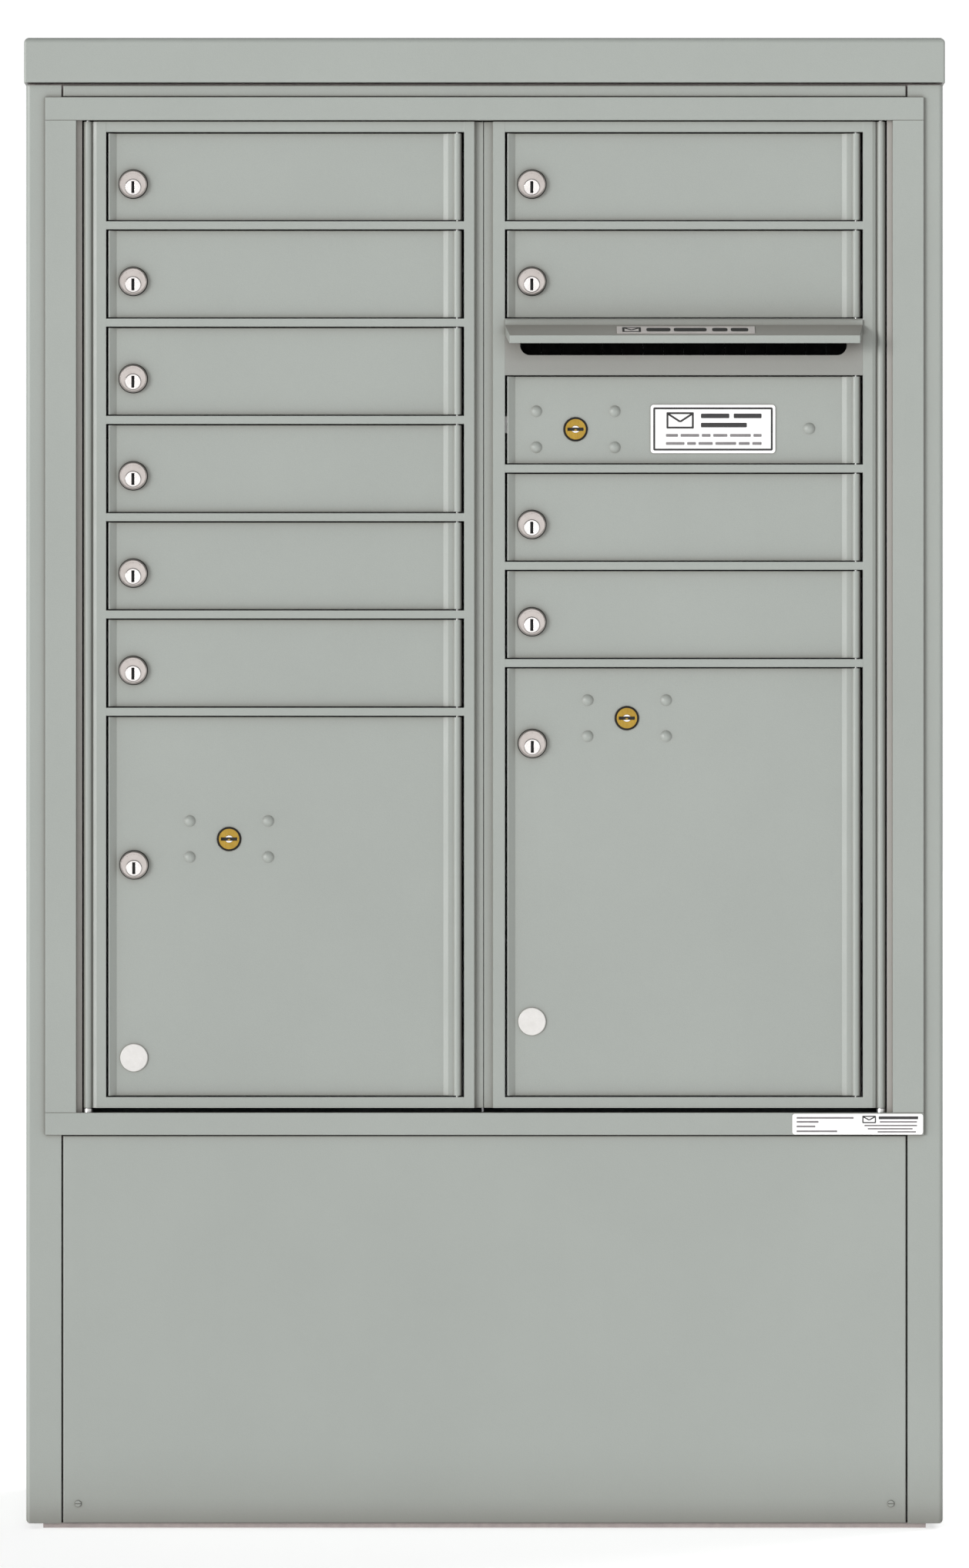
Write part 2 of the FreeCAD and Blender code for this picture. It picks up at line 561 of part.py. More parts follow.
def arrow_plug(x, z):
    """Carrier's lock cylinder with a horizontal key slot and a crank pin on its rear."""
    plug = rod_y(x, z, DOOR_FACE - 0.8, 15.6, ARROW_R)
    rim = edges_where(plug, lambda p, e: p.y < FRONT_Y + DOOR_FACE - 0.7 and e.Length > 60)
    plug = plug.makeChamfer(0.4, rim)
    plug = plug.cut(box(x - 7.4, x + 7.4, -1, DOOR_FACE + 3.2, z - 1.4, z + 1.4))
    plug = plug.fuse(rod_y(x, z - 1.0, DOOR_FACE, DOOR_FACE + 3.5, 1.3))
    reach = CRANK_R * math.sqrt(0.5)
    pin = rod_y(x + reach, z + reach, 15.0, BOLT_REAR + 0.4, 1.5)
    return plug.fuse(pin).removeSplitter()


def arrow_bolt(x, z, tip_x):
    """Sliding bolt, drawn back; the crank pin works in its upright fork."""
    reach = CRANK_R * math.sqrt(0.5)
    bar = box(tip_x, x + 16, BOLT_FRONT, BOLT_REAR, z + BOLT_LOW, z + BOLT_HIGH)
    bar = bar.makeChamfer(2.5, edges_where(bar, lambda p, e: p.x < tip_x + 0.01
                                           and p.y < FRONT_Y + BOLT_FRONT + 0.01 and e.Length > 10))
    slot = box(x + reach - 2.7, x + reach + 2.7, BOLT_FRONT - 1, BOLT_REAR + 1, z + 3.2, z + BOLT_HIGH + 1)
    return bar.cut(slot)


def tenant(number, side, row):
    ap_left = -APERTURE_OUT if side == "left" else APERTURE_IN
    ap_right = -APERTURE_IN if side == "left" else APERTURE_OUT
    top = aperture_top(row)
    x = ap_left + LOCK_INSET
    z = top - LOCK_DROP
    panel = door_panel(ap_left, ap_right, top - APERTURE_H, top).cut(lock_hole(x, z))
    write("tenant_door_%d" % number, [panel] + lock_housing(x, z))
    write("tenant_lock_%d" % number, lock_plug(x, z, True))


TENANTS = [("left", 0), ("left", 1), ("left", 2), ("left", 3), ("left", 4), ("left", 5),
           ("right", 0), ("right", 1), ("right", 3.5), ("right", 4.5)]
for number, (column, row) in enumerate(TENANTS, start=1):
    tenant(number, column, row)


def parcel(name, ap_left, ap_right, top, lock, arrow, plug_at):
    """A parcel locker: door, cam lock, carrier's lock and a cover over the spare lock hole."""
    panel = door_panel(ap_left, ap_right, PARCEL_BOTTOM, top).cut(lock_hole(*lock))
    panel = cut_arrow_holes(panel, *arrow)
    panel = panel.cut(rod_y(plug_at[0], plug_at[1], -2, 12, COVER_STEM_R + 0.2))
    write(name + "_door", [panel] + arrow_studs(*arrow))
    cover = rod_y(plug_at[0], plug_at[1], DOOR_FACE - 1.6, DOOR_FACE, COVER_R)
    rim = edges_where(cover, lambda p, e: p.y < FRONT_Y + DOOR_FACE - 1.5 and e.Length > 70)
    cover = cover.makeChamfer(0.6, rim)
    stem = rod_y(plug_at[0], plug_at[1], DOOR_FACE, DOOR_FACE + DOOR_SHEET + 3, COVER_STEM_R)
    cover = cover.fuse(stem).removeSplitter()
    write(name + "_fittings", lock_housing(*lock) + [cover] + arrow_case(*arrow))
    write(name + "_lock", lock_plug(lock[0], lock[1], False))
    write(name + "_arrow_plug", arrow_plug(*arrow))
    write(name + "_arrow_bolt", arrow_bolt(arrow[0], arrow[1], ap_left + 3.0))


parcel("left_parcel", -APERTURE_OUT, -APERTURE_IN, aperture_top(6),
       (-320.5, 606.7), (-233.6, 630.3), (-320.5, 430.4))
parcel("right_parcel", APERTURE_IN, APERTURE_OUT, aperture_top(5.5),
       (43.7, 717.6), (130.2, 740.8), (43.5, 463.5))

# ---------------------------------------------------------------- outgoing mail and master lock
SLOT_LEFT = 32.7
SLOT_RIGHT = 331.2
SLOT_LOW = 1072.5
SLOT_HIGH = 1091.5
panel_top = aperture_top(2)
panel_low = aperture_top(2.5)
slot_panel = box(APERTURE_IN, APERTURE_OUT, 0, 2.0, panel_low, panel_top)
slot = box(SLOT_LEFT, SLOT_RIGHT, -1, 3, SLOT_LOW, SLOT_HIGH)
slot = slot.makeFillet(9.0, edges_where(slot, lambda p, e: abs(e.Length - 4.0) < 0.01))
slot_panel = slot_panel.cut(slot)
baffle = prism_x([(2.0, 1068.0), (38.0, 1062.0), (38.0, 1063.5), (2.0, 1069.5)], 30, 336)
write("mail_slot_panel", [slot_panel, baffle])

# The hood is a folded sheet with two end cheeks, narrower at the lip than at the wall.
hood_plan = [(APERTURE_IN, 0.0), (APERTURE_OUT, 0.0), (APERTURE_OUT - 3.6, -HOOD_REACH),
             (APERTURE_IN + 4.2, -HOOD_REACH)]
hood_inner_plan = [(APERTURE_IN + 1.6, 0.0), (APERTURE_OUT - 1.6, 0.0), (APERTURE_OUT - 5.2, -HOOD_REACH),
                   (APERTURE_IN + 5.8, -HOOD_REACH)]
sheet_outline = [
    (0.0, HOOD_TOP), (-1.6, HOOD_TOP), (-1.6, HOOD_FOLD), (-HOOD_REACH, HOOD_NOSE),
    (-HOOD_REACH, HOOD_LIP), (-HOOD_REACH + 1.6, HOOD_LIP), (-HOOD_REACH + 1.6, HOOD_NOSE - 1.2),
    (0.0, HOOD_FOLD - 1.9),
]
cheek_outline = [(0.0, HOOD_FOLD - 1.0), (-HOOD_REACH + 0.8, HOOD_NOSE - 0.5), (-HOOD_REACH + 0.8, HOOD_LIP),
                 (0.0, HOOD_FOLD - 9.0)]
hood_wedge = prism_z(hood_plan, HOOD_LIP - 5, HOOD_TOP + 5)
hood_sheet = prism_x(sheet_outline, 0, 400).common(hood_wedge)
hood_inside = prism_z(hood_inner_plan, HOOD_LIP - 5, HOOD_TOP + 5)
cheeks = prism_x(cheek_outline, 0, 400).common(hood_wedge.cut(hood_inside))
write("slot_hood", hood_sheet.fuse(cheeks).removeSplitter())

lock_panel = door_panel(APERTURE_IN, APERTURE_OUT, panel_low - APERTURE_H, panel_low)
lock_panel = cut_arrow_holes(lock_panel, *MASTER_LOCK)
SINGLE_STUD = (297.1, 1005.6)
lock_panel = lock_panel.cut(rod_y(SINGLE_STUD[0], SINGLE_STUD[1], -2, 12, STUD_HOLE_R))
single_bolt = bolt_head(SINGLE_STUD[0], SINGLE_STUD[1], 16.0)
write("master_lock_panel", [lock_panel] + arrow_studs(*MASTER_LOCK) + [single_bolt])
write("master_lock_case", arrow_case(*MASTER_LOCK) + [bolt_nut(SINGLE_STUD[0], SINGLE_STUD[1], CASE_FRONT)])
write("master_arrow_plug", arrow_plug(*MASTER_LOCK))
write("master_arrow_bolt", arrow_bolt(MASTER_LOCK[0], MASTER_LOCK[1], 4.0))

mail_label = box(151.9, 266.0, DOOR_FACE - 0.8, DOOR_FACE, 983.0, 1027.3)
mail_label = mail_label.makeFillet(3.0, edges_where(mail_label, lambda p, e: abs(e.Length - 0.8) < 0.01))
slope = math.atan2(HOOD_FOLD - HOOD_NOSE, HOOD_REACH - 1.6)
hood_label = Part.makeBox(126.0, 17.0, 0.4)
hood_label.rotate(FreeCAD.Vector(0, 0, 0), FreeCAD.Vector(1, 0, 0), math.degrees(slope))
HOOD_LABEL_X = 120.7
HOOD_LABEL_UP = 5.0        # from the hood's nose to the label, along the slope
hood_label.translate(FreeCAD.Vector(HOOD_LABEL_X, FRONT_Y - HOOD_REACH + HOOD_LABEL_UP * math.cos(slope),
                                    HOOD_NOSE + HOOD_LABEL_UP * math.sin(slope)))
write("label_plates", [mail_label, hood_label])
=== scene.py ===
import json
import math
import bmesh
import bpy
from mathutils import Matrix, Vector


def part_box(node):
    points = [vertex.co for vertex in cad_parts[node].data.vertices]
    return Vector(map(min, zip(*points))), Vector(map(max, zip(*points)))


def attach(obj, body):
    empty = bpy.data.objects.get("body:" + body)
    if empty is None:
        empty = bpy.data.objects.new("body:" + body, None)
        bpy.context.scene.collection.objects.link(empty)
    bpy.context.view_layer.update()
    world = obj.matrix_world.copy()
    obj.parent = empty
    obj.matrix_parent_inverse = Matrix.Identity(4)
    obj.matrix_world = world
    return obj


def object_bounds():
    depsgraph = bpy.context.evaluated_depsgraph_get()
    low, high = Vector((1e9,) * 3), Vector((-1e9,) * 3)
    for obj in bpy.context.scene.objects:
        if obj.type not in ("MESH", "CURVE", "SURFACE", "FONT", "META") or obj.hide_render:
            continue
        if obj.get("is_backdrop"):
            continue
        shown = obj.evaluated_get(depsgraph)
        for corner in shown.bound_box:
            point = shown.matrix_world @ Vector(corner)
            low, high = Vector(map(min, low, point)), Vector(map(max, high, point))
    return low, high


# Looks of the mailbox cabinet. Metres; X to the right, Y from front to rear, Z up.
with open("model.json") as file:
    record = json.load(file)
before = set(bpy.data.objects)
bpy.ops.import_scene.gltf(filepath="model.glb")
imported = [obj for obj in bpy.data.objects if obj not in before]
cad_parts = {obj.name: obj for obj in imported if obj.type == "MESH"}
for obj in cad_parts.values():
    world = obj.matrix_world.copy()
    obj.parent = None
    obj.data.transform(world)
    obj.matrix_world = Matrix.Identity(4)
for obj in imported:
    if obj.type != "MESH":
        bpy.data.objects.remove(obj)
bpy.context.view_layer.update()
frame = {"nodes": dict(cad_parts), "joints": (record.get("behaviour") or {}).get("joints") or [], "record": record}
nodes = frame["nodes"]
joint_at = {j["name"]: Vector(j["pos_m"]) for j in frame["joints"] if "pos_m" in j}

MM = 0.001
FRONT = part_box("left_side_panel")[0].y     # front face of the side panels
DOOR_FACE = 4.0                            # depths in mm behind that face
DOOR_REAR = 6.5
LOCK_FRONT = -0.6
PLUG_DROP = 3.0                            # key plug axis below the centre of a lock's head
HEAD_R = 13.0                              # just outside a lock's head or cover
BARREL_R = 9.65                            # just outside a lock's barrel
PLAY = 0.05                                # how far a face may lie from the depth it is sorted by
SMALL_ROUNDING = 0.0004                    # edge rounding of small pieces, in metres


def depth_of(point):
    """Depth of a point behind the side panels' front face, in mm."""
    return (point.y - FRONT) / MM


def place(x, depth, z):
    """A point from X, depth and Z in mm."""
    return Vector((x * MM, FRONT + depth * MM, z * MM))


# ---------------------------------------------------------------- materials
class Shade:
    """A Principled material with short calls for its nodes."""

    def __init__(self, name, metallic=0.0, roughness=0.5):
        self.material = bpy.data.materials.new(name)
        self.material.use_nodes = True
        self.tree = self.material.node_tree
        self.shader = self.tree.nodes["Principled BSDF"]
        self.shader.inputs["Metallic"].default_value = metallic
        self.shader.inputs["Roughness"].default_value = roughness
        self.coords = self.add("ShaderNodeTexCoord").outputs["Object"]

    def add(self, kind, **values):
        node = self.tree.nodes.new(kind)
        for key, value in values.items():
            setattr(node, key, value)
        return node

    def give(self, socket, value):
        if isinstance(value, bpy.types.NodeSocket):
            self.tree.links.new(value, socket)
        elif isinstance(value, tuple) and len(value) == 3:
            socket.default_value = value + (1.0,)
        else:
            socket.default_value = value

    def set(self, name, value):
        self.give(self.shader.inputs[name], value)

    def stretched(self, x, y, z, turn=0.0):
        node = self.add("ShaderNodeMapping")
        node.inputs["Scale"].default_value = (x, y, z)
        node.inputs["Rotation"].default_value = (0.0, turn, 0.0)
        self.give(node.inputs["Vector"], self.coords)
        return node.outputs["Vector"]

    def noise(self, scale, detail=2.0, rough=0.5, coords=None):
        node = self.add("ShaderNodeTexNoise")
        node.inputs["Scale"].default_value = scale
        node.inputs["Detail"].default_value = detail
        node.inputs["Roughness"].default_value = rough
        self.give(node.inputs["Vector"], coords or self.coords)
        return node.outputs["Fac"]

    def voronoi(self, scale, output):
        node = self.add("ShaderNodeTexVoronoi")
        node.inputs["Scale"].default_value = scale
        self.give(node.inputs["Vector"], self.coords)
        return node.outputs[output]

    def span(self, value, low, high, to_low=0.0, to_high=1.0):
        node = self.add("ShaderNodeMapRange")
        self.give(node.inputs["Value"], value)
        node.inputs["From Min"].default_value = low
        node.inputs["From Max"].default_value = high
        node.inputs["To Min"].default_value = to_low
        node.inputs["To Max"].default_value = to_high
        return node.outputs["Result"]

    def math(self, operation, a, b):
        node = self.add("ShaderNodeMath", operation=operation)
        self.give(node.inputs[0], a)
        self.give(node.inputs[1], b)
        return node.outputs[0]

    def mix(self, factor, a, b, blend="MIX"):
        node = self.add("ShaderNodeMix", data_type="RGBA", blend_type=blend)
        self.give(node.inputs[0], factor)
        self.give(node.inputs[6], a)
        self.give(node.inputs[7], b)
        return node.outputs[2]

    def round_edges(self, radius):
        """Normal with rounded edges, and how near the edge is, from 0 to 1."""
        node = self.add("ShaderNodeBevel", samples=4)
        node.inputs["Radius"].default_value = radius
        plain = self.add("ShaderNodeNewGeometry").outputs["Normal"]
        dot = self.add("ShaderNodeVectorMath", operation="DOT_PRODUCT")
        self.give(dot.inputs[0], node.outputs["Normal"])
        self.give(dot.inputs[1], plain)
        return node.outputs["Normal"], self.span(dot.outputs["Value"], 0.995, 0.86)

    def closeness(self, distance, samples=6):
        """How open the surroundings are within a distance, from 0 to 1."""
        node = self.add("ShaderNodeAmbientOcclusion", samples=samples)
        node.inputs["Distance"].default_value = distance
        return node.outputs["AO"]

    # Painted shade: a factor that darkens a colour where the surroundings close in.
    def crevice(self, distance, low):
        return self.span(self.closeness(distance), 0.25, 0.95, low, 1.0)

    def bump(self, height, distance, normal=None):
        node = self.add("ShaderNodeBump")
        node.inputs["Strength"].default_value = 1.0
        node.inputs["Distance"].default_value = distance
        self.give(node.inputs["Height"], height)
        if normal is not None:
            self.give(node.inputs["Normal"], normal)
        self.set("Normal", node.outputs["Normal"])


def scaled(colour, factor):
    return tuple(c * factor for c in colour)


def powder_coat(name, colour, rounding=0.0007, painted_shade_low=0.50):
    """Satin powder coat: mottling, pigment speckle, rain marks, orange peel, rubbed edges, and painted shade, warm
    in tint, in corners, gaps and recesses.
    """
    s = Shade(name)
    cloudy = s.span(s.noise(5.0, 4.0, 0.6), 0.3, 0.7)
    body = s.mix(cloudy, scaled(colour, 0.975), scaled(colour, 1.02))
    speckle = s.span(s.noise(1400.0, 1.0), 0.35, 0.65)
    body = s.mix(speckle, s.mix(1.0, body, (0.965, 0.97, 0.975), "MULTIPLY"), body)
    rain = s.span(s.noise(1.0, 3.0, 0.6, s.stretched(55.0, 55.0, 3.0)), 0.55, 0.85, 0.0, 0.05)
    body = s.mix(rain, body, scaled(colour, 0.8))
    normal, edge = s.round_edges(rounding)
    rubbed = s.math("MULTIPLY", edge, s.span(s.noise(60.0, 3.0, 0.7), 0.45, 0.7, 0.0, 0.3))
    body = s.mix(rubbed, body, scaled(colour, 1.3))
    # Painted shade: the base colour darkens and turns warmer in gaps, corners, recesses and under overhangs.
    near = s.closeness(0.030, 12)
    wide = s.closeness(0.080, 8)
    gap = s.span(near, 0.02, 0.28, 0.06, 1.0)
    shadow = s.math("MULTIPLY", gap, s.span(near, 0.25, 0.98, painted_shade_low, 1.0))
    shadow = s.math("MULTIPLY", shadow, s.span(wide, 0.5, 0.98, 0.80, 1.0))
    warm_shade = s.add("ShaderNodeCombineColor")
    s.give(warm_shade.inputs[0], shadow)
    s.give(warm_shade.inputs[1], s.math("MULTIPLY", shadow, s.span(shadow, 0.6, 1.0, 0.94, 1.0)))
    s.give(warm_shade.inputs[2], s.math("MULTIPLY", shadow, s.span(shadow, 0.6, 1.0, 0.905, 1.0)))
    s.set("Base Color", s.mix(1.0, body, warm_shade.outputs[0], "MULTIPLY"))
    s.set("Roughness", s.span(s.noise(18.0, 4.0, 0.6), 0.3, 0.7, 0.40, 0.50))
    peel = s.math("ADD", s.noise(620.0, 1.5), s.math("MULTIPLY", s.noise(2600.0, 1.0), 0.25))
    s.bump(peel, 0.00007, normal)
    return s.material


def galvanised_sheet(name):
    """Bare galvanised sheet with spangle, faint rolling lines and white oxide, and painted shade in crevices."""
    s = Shade(name, metallic=1.0)
    cell = s.voronoi(110.0, "Color")
    split = s.add("ShaderNodeSeparateColor")
    s.give(split.inputs[0], cell)
    grain = split.outputs[0]
    body = s.mix(grain, (0.50, 0.51, 0.53), (0.66, 0.67, 0.68))
    oxide = s.span(s.noise(14.0, 5.0, 0.65), 0.52, 0.75, 0.0, 0.55)
    body = s.mix(oxide, body, (0.60, 0.60, 0.59))
    lines = s.noise(1.0, 2.0, 0.5, s.stretched(500.0, 12.0, 500.0))
    body = s.mix(s.span(lines, 0.4, 0.7, 0.0, 0.12), body, (0.36, 0.37, 0.39))
    # Painted shade: darker in crevices.
    shadow = s.crevice(0.03, 0.5)
    s.set("Base Color", s.mix(shadow, (0.22, 0.22, 0.22), body))
    s.set("Roughness", s.span(s.math("ADD", grain, oxide), 0.0, 1.4, 0.34, 0.58))
    s.bump(s.math("ADD", s.voronoi(110.0, "Distance"), s.math("MULTIPLY", lines, 0.4)), 0.00008)
    return s.material


def plated_metal(name, dark, light, rough, grain, tint=(0.62, 0.60, 0.52), edge_gain=0.25,
                 across=(1.0, 1.0, 1.0), bump=0.00002):
    """Plated or polished metal: grain, uneven tint, small scratches, brighter rubbed edges, painted shade in
    crevices.
    """
    s = Shade(name, metallic=1.0)
    fine = s.noise(grain, 2.0, 0.6, s.stretched(*across))
    patch = s.noise(90.0, 4.0, 0.6)
    body = s.mix(s.span(fine, 0.3, 0.7), dark, light)
    body = s.mix(s.span(patch, 0.5, 0.8, 0.0, 0.35), body, tint)
    scratch = s.span(s.noise(1.0, 2.0, 0.5, s.stretched(2600.0, 2600.0, 140.0, 0.6)), 0.62, 0.70)
    body = s.mix(s.math("MULTIPLY", scratch, 0.25), body, scaled(dark, 0.75))
    normal, edge = s.round_edges(SMALL_ROUNDING)
    body = s.mix(s.math("MULTIPLY", edge, edge_gain), body, tuple(min(1.0, c * 1.25) for c in light))
    # Painted shade: darker in crevices.
    shadow = s.crevice(0.004, 0.35)
    s.set("Base Color", s.mix(shadow, scaled(dark, 0.25), body))
    wobble = s.math("ADD", s.math("MULTIPLY", patch, 0.5), s.math("MULTIPLY", fine, 0.5))
    s.set("Roughness", s.span(wobble, 0.3, 0.7, rough * 0.8, rough * 1.25))
    s.bump(s.math("ADD", fine, s.math("MULTIPLY", scratch, -0.6)), bump, normal)
    return s.material


def moulded(name, dark, light, rough, grain=900.0, bump=0.00004, gloss=0.5):
    """Moulded plastic, rubber or film: fine grain, soft marks, painted shade in corners."""
    s = Shade(name)
    s.set("Specular IOR Level", gloss)
    fine = s.noise(grain, 2.0, 0.6)
    marks = s.noise(120.0, 4.0, 0.7)
    body = s.mix(s.span(marks, 0.35, 0.7), dark, light)
    body = s.mix(s.span(fine, 0.5, 0.75, 0.0, 0.12), body, scaled(dark, 0.8))
    # Painted shade: darker in corners and crevices.
    shadow = s.crevice(0.003, 0.7)
    s.set("Base Color", s.mix(shadow, scaled(dark, 0.55), body))
    s.set("Roughness", s.span(marks, 0.3, 0.7, rough * 0.88, min(1.0, rough * 1.12)))
    s.bump(fine, bump, s.round_edges(SMALL_ROUNDING)[0])
    return s.material


GREY = (0.316, 0.337, 0.314)
paint = powder_coat("powder coat on aluminium", GREY)
# Darker, warmer copy of the powder coat for the mail slot's panel: painted shadow of the hood.
hood_shadow_paint = powder_coat("powder coat under the hood", (0.258, 0.262, 0.244))
# Lighter copy of the powder coat with weaker painted shade: painted light on the jambs, which lie in shadow.
lightened_jamb_paint = powder_coat("powder coat in the jambs", (0.43, 0.425, 0.40), painted_shade_low=0.8)
# Lighter, warmer copy of the powder coat for the hood's upward faces: painted light tone on the slope.
hood_top_light_paint = powder_coat("powder coat on the hood", (0.345, 0.342, 0.318))
paint_steel = powder_coat("powder coat on steel sheet", scaled(GREY, 1.01), 0.0009)
galvanised = galvanised_sheet("galvanised sheet")
primer = moulded("matt primer", (0.35, 0.305, 0.295), (0.43, 0.375, 0.36), 0.75, 400.0, 0.00012)
zinc = plated_metal("zinc plate", (0.50, 0.50, 0.49), (0.66, 0.66, 0.65), 0.36, 800.0)
satin = plated_metal("satin nickel", (0.385, 0.352, 0.335), (0.50, 0.462, 0.44), 0.36, 2400.0,
                     (0.42, 0.375, 0.345), 0.5)
bright = plated_metal("bright nickel", (0.545, 0.52, 0.51), (0.65, 0.625, 0.613), 0.26, 1800.0,
                      (0.52, 0.49, 0.47), 0.2)
brass = plated_metal("brass", (0.27, 0.172, 0.032), (0.345, 0.222, 0.044), 0.30, 900.0,
                     (0.24, 0.135, 0.026), 0.35, (1.0, 1.0, 0.12), 0.00003)
# Near-black steel: painted shade inside keyways and key slots.
keyway_shade_black = moulded("shadowed dark steel", (0.012, 0.011, 0.011), (0.022, 0.021, 0.02), 0.5, 1200.0, 0.00002)
cover_white = moulded("white moulded plastic", (0.62, 0.605, 0.585), (0.68, 0.665, 0.645), 0.38)
film = moulded("white label film", (0.86, 0.85, 0.845), (0.92, 0.915, 0.91), 0.42, 500.0, 0.00001)
film_grey = moulded("grey label film", (0.60, 0.565, 0.55), (0.66, 0.625, 0.605), 0.42, 500.0, 0.00001)
ink = moulded("black ink", (0.018, 0.017, 0.018), (0.03, 0.028, 0.029), 0.5, 700.0, 0.00001)
pale_ink = moulded("grey ink", (0.17, 0.16, 0.165), (0.23, 0.22, 0.22), 0.5, 700.0, 0.00001)
rubber = moulded("black rubber", (0.010, 0.0095, 0.0095), (0.018, 0.017, 0.0165), 0.75, 600.0, 0.00008,
                 gloss=0.2)
# Near-black, matt rubber: painted shade for the inside of the mail slot.
slot_shade_black = moulded("shadow_black rubber", (0.0015, 0.0014, 0.0014), (0.004, 0.0038, 0.0037), 0.9, 600.0, 0.00004,
                      gloss=0.0)

slot_material = {
    "grey_paint_aluminium": paint, "grey_paint_steel": paint_steel, "galvanised": galvanised,
    "dark_primer": primer, "zinc_plate": zinc, "satin_nickel": satin, "bright_nickel": bright,
    "brass": brass, "label_film": film,
}
for subpart in frame["record"]["subparts"]:
    mesh = nodes[subpart["node"]].data
    mesh.materials.clear()
    mesh.materials.append(slot_material[subpart["material_slot"]])


def assign(node, materials, choose):
    """Gives a CAD node several materials; choose picks one from a face's centre and normal."""
    mesh = nodes[node].data
    mesh.materials.clear()
    for material in materials:
        mesh.materials.append(material)
    for face in mesh.polygons:
        face.material_index = choose(face.center, face.normal)


def away(point, axis):
    """Distance in mm from an axis along Y through a given point."""
    return math.hypot(point.x - axis.x, point.z - axis.z) / MM


def is_head(point, normal, axis):
    """Whether a face of a door or its fittings belongs to the cam lock's housing."""
    head = axis + Vector((0.0, 0.0, PLUG_DROP * MM))
    depth = depth_of(point)
    if away(point, head) < HEAD_R and depth < DOOR_FACE - 0.03:
        return True
    on_face = abs(abs(normal.y) - 1.0) < 0.01 and abs(depth - DOOR_FACE) < PLAY
    on_rear = normal.y > 0.9 and abs(depth - DOOR_REAR) < PLAY
    return away(point, axis) < BARREL_R and not on_face and not on_rear


def door_chooser(axis):
    """0 for the door, 1 for its lock's housing, 2 for the nut behind."""
    nut_reach = 14.3

    def choose(point, normal):
        if is_head(point, normal, axis):
            return 1
        if away(point, axis) < nut_reach and depth_of(point) > DOOR_REAR + PLAY:
            return 2
        return 0
    return choose


def lock_chooser(axis):
    """0 for a key plug, 1 for the inside of its keyway, painted near-black as shade, 2 for the cam and its screw.
    """
    cam_depth = 17.1
    half_width, half_height = 1.42 * MM, 5.42 * MM
    way_front, way_rear = -1.38, 3.6

    def choose(point, normal):
        depth = depth_of(point)
        if depth > cam_depth:
            return 2
        inside = abs(point.x - axis.x) < half_width and abs(point.z - axis.z) < half_height
        return 1 if inside and way_front < depth < way_rear else 0
    return choose


def arrow_chooser(axis):
    """0 for a carrier's lock cylinder, 1 for the inside of its key slot, painted near-black as shade, 2 for its
    rear and crank pin.
    """
    rear_depth = 8.0
    half_width, half_height = 7.42 * MM, 1.42 * MM
    way_front = 3.22
    post = axis - Vector((0.0, 0.0, MM))
    post_r = 1.36

    def choose(point, normal):
        depth = depth_of(point)
        if depth > rear_depth:
            return 2
        inside = abs(point.x - axis.x) < half_width and abs(point.z - axis.z) < half_height
        return 1 if inside and depth > way_front and away(point, post) > post_r else 0
    return choose


def stud_chooser(point, normal):
    """0 for the painted door and stud heads, 1 for the zinc-plated shanks."""
    shank_side, shank_end = 8.0, 9.6
    depth = depth_of(point)
    return 1 if depth > shank_end or (depth > shank_side and abs(normal.y) < 0.3) else 0


def parcel_chooser(axis, cover):
    """0 for the cam lock's housing, 1 for the carrier's lock case and nuts, 2 for the cover."""
    def choose(point, normal):
        if is_head(point, normal, axis):
            return 0
        return 2 if away(point, cover) < HEAD_R else 1
    return choose


COVER_R = 12.65                              # radius of the cover over a spare lock hole
HOOD_LABEL_Z = 1.06                          # between the mail label and the hood's label, in metres
SLOT_SHEET = 2.05                            # just behind the mail slot's sheet

doors = []                                   # (body of the door, body of the plug, plug axis)
for number in range(1, 11):
    axis = joint_at["lock_%d_turn" % number]
    doors.append(("door_%d" % number, "lock_%d" % number, axis))
    assign("tenant_door_%d" % number, [paint, satin, zinc], door_chooser(axis))
    assign("tenant_lock_%d" % number, [bright, keyway_shade_black, zinc], lock_chooser(axis))
for side in ("left", "right"):
    name = side + "_parcel"
    axis = joint_at[name + "_lock_turn"]
    doors.append((name + "_door", name + "_lock", axis))
    low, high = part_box(name + "_fittings")
    cover = Vector((axis.x, 0.0, low.z + COVER_R * MM))
    assign(name + "_door", [paint, zinc], stud_chooser)
    assign(name + "_fittings", [satin, zinc, cover_white], parcel_chooser(axis, cover))
    assign(name + "_lock", [bright, keyway_shade_black, zinc], lock_chooser(axis))
    assign(name + "_arrow_plug", [brass, keyway_shade_black, zinc], arrow_chooser(joint_at[name + "_key_turn"]))
assign("master_lock_panel", [paint, zinc], stud_chooser)
# Faces behind the slot's sheet are near-black and black: painted shade inside the slot.
assign("mail_slot_panel", [hood_shadow_paint, slot_shade_black, rubber],
       lambda p, n: 0 if depth_of(p) < SLOT_SHEET else 1 if n.y < -0.5 else 2)
assign("master_arrow_plug", [brass, keyway_shade_black, zinc], arrow_chooser(joint_at["master_key_turn"]))
# The jambs get the lighter copy of the paint: painted light.
assign("hinge_jambs", [lightened_jamb_paint], lambda p, n: 0)
# The hood's upward faces get the lighter copy: a painted light tone picked by facing.
assign("slot_hood", [paint, hood_top_light_paint], lambda p, n: 1 if n.z > 0.5 else 0)
assign("label_plates", [film, film_grey], lambda p, n: 1 if p.z > HOOD_LABEL_Z else 0)
assign("panel_screws", [paint_steel], lambda p, n: 0)


# ---------------------------------------------------------------- mesh pieces
def finish_piece(name, mesh_data, material, body, smooth=True):
    """Puts a mesh in the scene on its body, with its material and slot."""
    piece = bpy.data.objects.new(name, mesh_data)
    bpy.context.scene.collection.objects.link(piece)
    mesh_data.materials.append(material)
    for face in mesh_data.polygons:
        face.use_smooth = smooth
    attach(piece, body)


